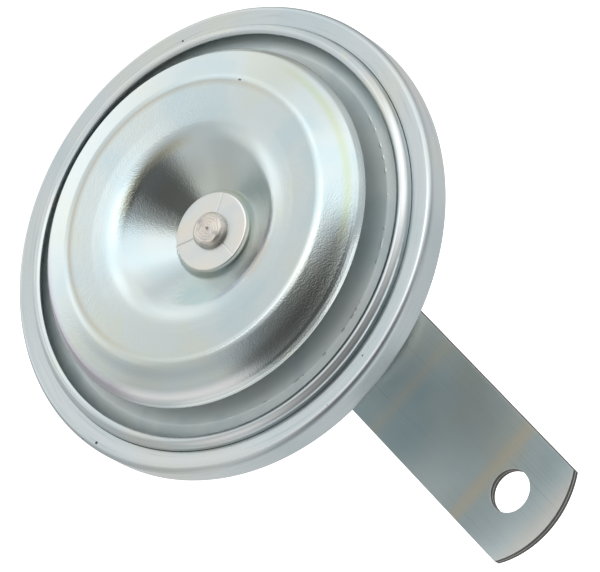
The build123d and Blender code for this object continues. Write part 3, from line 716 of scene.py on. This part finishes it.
for middle, half_width, tint, strength in STRAP_BANDS_AND_PAINTED_LIGHT:
    share = band(tree, height, middle, half_width, strength)
    shade = add(tree, "Mix", share, shade, colour(tint), data_type="RGBA")
facing = add(tree, "SeparateXYZ", add(tree, "TexCoord").outputs["Normal"])
facing = add(tree, "Math", facing.outputs["Y"], operation="ABSOLUTE")
torn = add(tree, "MapRange", facing, 0.55, 0.30, interpolation_type="SMOOTHSTEP")
shade = add(tree, "Mix", torn, shade, colour("#5a5957"), data_type="RGBA")
rough = add(tree, "MapRange", torn, 0.0, 1.0, ROLLED, TORN)
drive(tree, shader, Base_Color=shade, Roughness=rough)
relief(tree, shader, [(0, 0.0015), (0.5, 0.003)], pattern=hairlines)

# %% [markdown]
# ## Turned steel and tumbled washers
# The armature is turned from free-cutting steel and its end is spun over into a rivet, which
# leaves rings round the axis and a warm grey. The rings of the tool are noise of the radius
# alone. Washers are blanked and tumbled, so they are plain and a little rough, with a painted
# highlight along one side of the edge.

# %% Finishes of the armature and the washers
TOOL_MARKS_PER_MM, TOOL_MARK_DEPTH = 3.0, 0.02
tree, shader = finish("turned_steel", "#cfcac3", 1.0, 0.36)
shade = clouds(tree, colour("#cfcac3"), 2.0, "#b3b0ab", "#d9d2c8")
radius = around_horn(tree)[0]
tool_marks = add(
    tree, "TexNoise", radius, TOOL_MARKS_PER_MM, 2.0, noise_dimensions="1D"
)
drive(tree, shader, Base_Color=shade)
relief(tree, shader, [(0, TOOL_MARK_DEPTH), (0.4, 0.006)], pattern=tool_marks)

# A painted highlight along one side of the washer's edge.
PAINTED_EDGE_HIGHLIGHT = (7.6, 0.25, 140, 70, "#ffffff", 0.7, 0)
tree, shader = finish("tumbled_washer_steel", "#d9dbd7", 1.0, 0.36)
shade = clouds(tree, colour("#d9dbd7"), 6.0, "#d2d7d7", "#dedbd2")
shade = rings_of_marks_and_painted_light(tree, shade, [PAINTED_EDGE_HIGHLIGHT])
shade = specks(tree, shade, 3.0, 0.3, "#77746f")
drive(tree, shader, Base_Color=shade)
relief(tree, shader, [(0.35, 0.006)])

# %% [markdown]
# ## Bought-in fastenings and the electrical pieces
# These are on the back and inside, and they differ only in numbers, so one table and one loop
# make them. Real grain is finer than the sizes here: each is as coarse as a close view needs.

# %% Finishes from a table
# Name, base, metallic, roughness; size, cool and warm tint of the clouds; spacing, size and
# tint of the specks; relief in layers of size and depth.
PLAIN_FINISHES = [
    # A duller barrel plating than the rim's, a little yellow where it is thick.
    (("zinc_plated_fastening", "#bfc2be", 1.0, 0.34), (5.0, "#b1b9bc", "#c8c3a9"),
     (3.0, 0.3, "#5b5c58"), [(0.35, 0.008)]),
    # Blades and rivets stamped from strip: yellow, with brown spots of tarnish.
    (("stamped_brass", "#c9ab64", 1.0, 0.27), (4.0, "#b3945a", "#d9c07c"),
     (2.5, 0.25, "#7a6236"), [(0.3, 0.006)]),
    # Contact faces: pale, smooth and slightly warm.
    (("silver_contact", "#d9d6cf", 1.0, 0.25), (1.5, "#c2c0bb", "#e2dfd8"),
     None, [(0.2, 0.003)]),
    # Wood flour in the moulding makes the black a little mottled and dull.
    (("black_moulded_phenolic", "#1f1b19", 0.0, 0.42), (1.2, "#171413", "#2b2420"),
     None, [(0.25, 0.010), (2.0, 0.020)]),
    # Gaskets cut from a brown-grey board, which hardly shines.
    (("vulcanised_fibre", "#4a3d33", 0.0, 0.75), (1.5, "#3d332b", "#5a4b3e"),
     None, [(0.3, 0.020)]),
]
for start, cloud, grains, layers in PLAIN_FINISHES:
    tree, shader = finish(*start)
    shade = clouds(tree, colour(start[1]), *cloud)
    if grains:
        shade = specks(tree, shade, *grains)
    drive(tree, shader, Base_Color=shade)
    relief(tree, shader, layers)

# %% [markdown]
# ## Enamelled copper wire
# The winding is one closed solid inside the case. Its hundreds of turns could be one long curve,
# but only an opened horn shows them, so they are grooves in its relief: a sine of the place
# along the axis, one wave to a wire. The enamel is a clear coat over the copper.

# %% Finish of the winding
WIRE_MM, GROOVE_DEPTH = 0.6, 0.12
tree, shader = finish("enamelled_copper_wire", "#b4562c", 1.0, 0.22)
shader.inputs["Coat Weight"].default_value = 0.6
shade = clouds(tree, colour("#b4562c"), 3.0, "#9c4522", "#c46a38")
turns = add(tree, "Math", along_axis(tree, "Y"), 2 * np.pi / WIRE_MM, operation="MULTIPLY")
turns = add(tree, "Math", turns, operation="SINE")
drive(tree, shader, Base_Color=shade)
relief(tree, shader, [(0, GROOVE_DEPTH)], pattern=turns)

# %% [markdown]
# ## Standing in for a CAD node
# Each new piece hides the node it stands for, rides on that node's body and takes a finish.
# These could be typed for every piece, but the record gives the body, so one function does all
# of it.

# %% Who rides where
BODIES = frame["record"]["behaviour"]["bodies"]
BODY_OF = {node: body for body, nodes in BODIES.items() for node in nodes}


def stands_for(piece, node, finish_name):
    """Gives a piece its finish, and puts it in the node's place on the node's body."""
    piece.data.materials.clear()
    piece.data.materials.append(FINISHES[finish_name])
    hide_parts(node)
    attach(piece, BODY_OF[node])


print(len(BODY_OF), "nodes ride on", sorted(BODIES))

# %% [markdown]
# ## The tone disc
# The disc is one pressed sheet with a turned-down lip, a bevel, a land that sinks slightly
# inwards and a dish down to the hub. Its shape could be modelled with a subdivision surface,
# but its mirror shows every change of slope, and a cage of points can't hold a true arc. So the
# outline has the press's own corners and bends.

# %% Tone disc
FACE_Y = -40.8                  # front of the rim
DISC_EDGE_Y = FACE_Y - 5.3      # edge of the disc, the foremost sheet
CLEAR_SHANK = 2.83              # radius of the holes round the armature's shank
DISC_SHEET, PRESSED_EDGE = 1.2, 0.3
DISH_FLOOR_Y = DISC_EDGE_Y + 3.5
disc_corners = [
    (35.7, DISC_EDGE_Y),           # cut edge
    (34.6, DISC_EDGE_Y - 1.38),    # lip to bevel
    (28.2, DISC_EDGE_Y - 4.66),    # bevel to land: the crown
    (22.5, DISC_EDGE_Y - 4.26),    # where the land starts to sink
    (18.0, DISC_EDGE_Y - 3.72),    # shoulder of the dish
    (8.0, DISH_FLOOR_Y),           # wall to floor
    (CLEAR_SHANK, DISH_FLOOR_Y),
]
disc_bends = (2.0, 4.0, 15.0, 10.0, 1.5)
disc_outline = sheet(disc_corners, disc_bends, -DISC_SHEET, PRESSED_EDGE)
tone_disc = turned("tone_disc_skin", disc_outline)
stands_for(tone_disc, "tone_disc", "bright_blue_zinc_plate")

# %% [markdown]
# ## The rim
# The rim is one sheet rolled over the whole edge: a flat lip in front, a band, and a curl
# behind. A bevelled ring would look alike from afar. But the bright lines that run round the
# horn are the mirrors of its small bends, so each bend is drawn, and the grid round the axis is
# finer here.

# %% Rim
RIM_STEPS = 480
ROLLED_EDGE = 0.08
RIM_RADIUS, RIM_SHEET = 46.4, 0.8
CURL_Y = FACE_Y + 6.2           # back of the rim's curl
rim_corners = [(42.3, FACE_Y), (RIM_RADIUS, FACE_Y), (RIM_RADIUS, CURL_Y), (43.5, CURL_Y)]
rim_outline = sheet(rim_corners, (1.2, 1.4), RIM_SHEET, ROLLED_EDGE)
crimp_ring = turned("crimp_ring_skin", rim_outline, steps=RIM_STEPS)
stands_for(crimp_ring, "crimp_ring", "satin_zinc_plate")

# %% [markdown]
# ## The bead
# Under the rim's lip lies the clamping ring, whose bead stands up round the opening. The bead
# could be a torus, but the real one is the same sheet bent up and over, with a dark crease at
# its foot and a thin edge round the opening. Its outline shows both.

# %% Bead
BEAD_SHEET = 0.7
FLANGE_Y = FACE_Y + RIM_SHEET   # front of the clamping ring, under the lip
bead_corners = [
    (45.2, FLANGE_Y),
    (42.27, FLANGE_Y),          # foot of the bead
    (42.18, FACE_Y - 1.1),      # its outer shoulder
    (40.8, FACE_Y - 2.0),       # its crest
    (39.9, FACE_Y - 1.7),       # edge of the opening
]
bead_outline = sheet(bead_corners, (0.15, 0.9, 0.9), -BEAD_SHEET, ROLLED_EDGE)
bead_ring = turned("bead_ring_skin", bead_outline, steps=RIM_STEPS)
stands_for(bead_ring, "bead_ring", "satin_zinc_plate")

# %% [markdown]
# ## The diaphragm
# The sheet is clamped flat at the rim, rises to a bend under the disc's edge and then runs
# almost flat to the hub. It could be blended between the two bodies, but a blend works along
# one line and the diaphragm flexes over its radius. So it stays on the case's body, because
# only its middle moves, by half a millimetre, out of sight behind the disc.

# %% Diaphragm
DIAPHRAGM_SHEET, GASKET_SHEET, SHEARED_EDGE = 0.4, 0.3, 0.1
SEAT_Y = FLANGE_Y + BEAD_SHEET + GASKET_SHEET
HUB_Y = SEAT_Y - 0.7
diaphragm_corners = [
    (45.5, SEAT_Y),
    (42.0, SEAT_Y),             # foot of the slope
    (37.3, SEAT_Y - 2.3),       # bend under the disc's edge
    (13.0, HUB_Y),
    (CLEAR_SHANK, HUB_Y),
]
diaphragm_outline = sheet(diaphragm_corners, (1.0, 1.0, 4.0), -DIAPHRAGM_SHEET, SHEARED_EDGE)
diaphragm = turned("diaphragm_skin", diaphragm_outline)
stands_for(diaphragm, "diaphragm", "blasted_spring_steel")

# %% [markdown]
# ## The washer in the dish
# Three radial lines are coined into the washer's face. A Boolean could cut them, but it leaves
# ragged shading round the cut. Here each is a groove whose depth falls off with the distance d
# from the line as exp(-(d / half width)^2), so a fine grid takes it without an edge loop.

# %% Front washer
WASHER_STEPS = 900
WASHER_RADIUS, WASHER_SHEET = 7.85, 1.1
WASHER_FACE_Y = DISH_FLOOR_Y - WASHER_SHEET
COINED_ANGLES = np.radians((90.0, 210.0, 330.0))
COINED_DEPTH, COINED_HALF_WIDTH = 0.09, 0.12


def coined(angle, radius, y):
    """Sinks the face along the lines, by a bell curve of the distance r sin(a - line)."""
    groove = np.zeros_like(radius)
    for line in COINED_ANGLES:
        beyond = radius * np.sin(angle - line)
        on_side = np.cos(angle - line) > 0
        groove = np.maximum(groove, np.exp(-((beyond / COINED_HALF_WIDTH) ** 2)) * on_side)
    on_face = y < WASHER_FACE_Y + 0.02
    return radius, y + COINED_DEPTH * groove * on_face


washer_corners = [
    (CLEAR_SHANK, DISH_FLOOR_Y),
    (CLEAR_SHANK, WASHER_FACE_Y),
    (WASHER_RADIUS, WASHER_FACE_Y),
    (WASHER_RADIUS, DISH_FLOOR_Y),
    (CLEAR_SHANK + 0.01, DISH_FLOOR_Y),
]
washer_outline = refined(rounded(washer_corners, (0.05, 0.28, 0.1)), longest=0.5)
front_washer = turned("front_washer_skin", washer_outline, steps=WASHER_STEPS, wave=coined)
stands_for(front_washer, "front_washer", "tumbled_washer_steel")

# %% [markdown]
# ## The armature and its spun end
# The armature's shank holds the whole stack together, and its end is spun over as a rivet head.
# The spinning tool leaves uneven rings round a centre dimple. Relief alone could draw them, but
# they are deep enough to catch the lamp one by one, so they are in the mesh: a cosine of the
# radius whose phase wanders round the head.

# %% Armature
RIVET_STEPS, RIVET_GRID = 180, 0.12
RIVET_RADIUS, RIVET_SLOPE, SHANK_RADIUS = 3.6, 0.8, 2.75
RIVET_Y = WASHER_FACE_Y - 1.5
SLUG_FRONT_Y, SLUG_BACK_Y, SLUG_RADIUS = -38.4, -21.3, 8.0    # the part that the magnet pulls
CHAMFER = 0.6
RING_PITCH, RING_DEPTH = 0.60, 0.035


def spun(angle, radius, y):
    """Rings on the head: depth cos(2 pi (r + wander) / pitch), faded in from the dimple out."""
    wander = 0.14 * np.sin(3 * angle + 0.6) + 0.10 * np.sin(7 * angle + 2.0)
    rings = np.cos(2 * np.pi * (radius + wander) / RING_PITCH)
    fade = np.clip((radius - 0.5) / 0.4, 0, 1) * np.clip((3.3 - radius) / 0.6, 0, 1)
    return radius, y + RING_DEPTH * (1 + rings) * fade * (y < RIVET_Y + 0.9)


head_and_slug = [
    (0.0, RIVET_Y + 0.45),                   # centre dimple
    (0.4, RIVET_Y),
    (2.95, RIVET_Y),
    (RIVET_RADIUS, RIVET_Y + RIVET_SLOPE),
    (RIVET_RADIUS, WASHER_FACE_Y),
    (SHANK_RADIUS, WASHER_FACE_Y),
    (SHANK_RADIUS, SLUG_FRONT_Y),
    (SLUG_RADIUS, SLUG_FRONT_Y),
    (SLUG_RADIUS, SLUG_BACK_Y - CHAMFER),
    (SLUG_RADIUS - CHAMFER, SLUG_BACK_Y),
    (0.0, SLUG_BACK_Y),
]
armature_bends = (0.15, 0.6, 0.4, 0.1, 0.05, 0.05, 0.3, 0.15, 0.15)
armature_outline = refined(rounded(head_and_slug, armature_bends), longest=RIVET_GRID)
armature = turned("armature_skin", armature_outline, steps=RIVET_STEPS, wave=spun)
stands_for(armature, "armature", "turned_steel")

# %% [markdown]
# ## The core and its threaded stud
# The magnet's core ends in the M8 stud that carries the strap. A Screw modifier could wind a
# thread, but it would be a separate piece with open ends. Here a thread is a triangle wave of
# the height along the axis, shifted by one pitch in a turn and taken off the radius, so core
# and stud stay one closed mesh.

# %% Magnet core
THREAD_STEPS, THREAD_GRID = 96, 0.1
THREAD_PITCH, THREAD_DEPTH = 1.25, 0.70
THREAD_START, THREAD_END = -1.2, 9.6
CORE_FRONT_Y, CORE_BACK_Y, CORE_RADIUS = -20.5, -2.8, 8.3
STUD_RADIUS, STUD_TIP_RADIUS, STUD_TIP_Y = 3.95, 3.15, 10.5


def threaded(angle, radius, y):
    """Takes depth times a triangle wave of y / pitch - angle / turn off the stud's radius."""
    phase = (y / THREAD_PITCH - angle / (2 * np.pi)) % 1
    triangle = np.abs(2 * phase - 1)
    fade = np.clip((y - THREAD_START) / 1.0, 0, 1) * np.clip((THREAD_END + 0.9 - y) / 0.9, 0, 1)
    on_stud = (radius < 4.0) & (radius > 3.0)
    return radius - THREAD_DEPTH * triangle * fade * on_stud, y


core_corners = [
    (0, CORE_FRONT_Y),
    (CORE_RADIUS, CORE_FRONT_Y),
    (CORE_RADIUS, CORE_BACK_Y),
    (STUD_RADIUS, CORE_BACK_Y),
    (STUD_RADIUS, STUD_TIP_Y - 0.8),
    (STUD_TIP_RADIUS, STUD_TIP_Y),
    (0, STUD_TIP_Y),
]
core_outline = refined(rounded(core_corners, (0.3, 0.2, 0.1, 0.2, 0.2)), longest=THREAD_GRID)
magnet_core = turned("magnet_core_skin", core_outline, steps=THREAD_STEPS, wave=threaded)
stands_for(magnet_core, "magnet_core", "zinc_plated_fastening")

# %% [markdown]
# ## Pieces that keep the CAD's shape
# The strap, the case, the fastenings and the electrical pieces already have their true shape.
# What they lack is the small break along each edge that catches the light. They could be made
# anew, but the shape would only be copied. The CAD mesh itself is never changed, so a copy of
# it is merged, its flat faces are joined, and a Bevel modifier of a few tenths of a millimetre
# breaks its edges.

# %% Edges broken on a copy
SHARP_FROM = np.radians(28.0)    # corners between smooth faces are blunter than this
FLAT_WITHIN = np.radians(0.2)
COPY_MERGE = 1e-6                # metres, for the loose triangles of the CAD mesh


def edges_broken(node, width_mm):
    """A merged copy of a CAD node, smooth but for its real edges, which get a bevel."""
    whole = bmesh.new()
    whole.from_mesh(frame["nodes"][node].data)
    bmesh.ops.remove_doubles(whole, verts=whole.verts, dist=COPY_MERGE)
    bmesh.ops.dissolve_limit(
        whole, angle_limit=FLAT_WITHIN, verts=whole.verts, edges=whole.edges
    )
    mesh = bpy.data.meshes.new(node + "_skin")
    whole.to_mesh(mesh)
    whole.free()
    mesh.polygons.foreach_set("use_smooth", np.full(len(mesh.polygons), True))
    mesh.set_sharp_from_angle(angle=SHARP_FROM)
    made = bpy.data.objects.new(node + "_skin", mesh)
    bpy.context.collection.objects.link(made)
    if width_mm:
        bevel = made.modifiers.new("broken_edges", "BEVEL")
        bevel.width, bevel.segments = width_mm * MM, 2
        bevel.limit_method, bevel.angle_limit = "ANGLE", SHARP_FROM
        bevel.harden_normals = True
    return made


print("edges sharper than", round(np.degrees(SHARP_FROM)), "degrees get a break")

# %% [markdown]
# ## The pieces, their breaks and their finishes
# A width could be guessed from each piece's size, but it comes from how the edge was made: a
# moulded base is softer than a stamped blade. A width of 0 leaves the edges as they are, where
# the CAD model has its own rounds or the sheet is too thin for a break.

# %% Kept shapes
# Node, width of the break in millimetres, and finish.
KEPT_SHAPES = [
    ("bracket_leaf_front", 0.14, "rolled_strap_steel"),
    ("bracket_leaf_rear", 0.14, "rolled_strap_steel"),
    ("case", 0.0, "deep_drawn_zinc_plate"),
    ("lock_washer", 0.20, "zinc_plated_fastening"),
    ("stud_nut", 0.20, "zinc_plated_fastening"),
    ("adjusting_screw", 0.12, "zinc_plated_fastening"),
    ("terminal_base", 0.30, "black_moulded_phenolic"),
    ("terminal_left", 0.08, "stamped_brass"),
    ("terminal_right", 0.08, "stamped_brass"),
    ("terminal_rivets", 0.15, "stamped_brass"),
    ("front_gasket", 0.0, "vulcanised_fibre"),
    ("rear_gasket", 0.0, "vulcanised_fibre"),
    ("tone_spacer", 0.15, "turned_steel"),
    ("front_support_washer", 0.0, "tumbled_washer_steel"),
    ("rear_support_washer", 0.0, "tumbled_washer_steel"),
    ("armature_collar", 0.15, "black_moulded_phenolic"),
    ("bobbin", 0.10, "black_moulded_phenolic"),
    ("coil_winding", 0.0, "enamelled_copper_wire"),
    ("pole_plate", 0.15, "zinc_plated_fastening"),
    ("contact_spring", 0.0, "stamped_brass"),
    ("moving_contact", 0.0, "silver_contact"),
    ("contact_carrier", 0.08, "satin_zinc_plate"),
    ("fixed_contact", 0.0, "silver_contact"),
    ("breaker_insulators", 0.08, "black_moulded_phenolic"),
    ("breaker_rivets", 0.10, "turned_steel"),
]
for node, width_mm, finish_name in KEPT_SHAPES:
    stands_for(edges_broken(node, width_mm), node, finish_name)
print(len(KEPT_SHAPES), "pieces keep the CAD's shape")

# %% [markdown]
# ## The sizes, last
# The box of the CAD model, as imported, is printed last. A skin must not grow out of
# the model that it stands for.

print("CAD box", np.round(cad_box, 4).tolist())
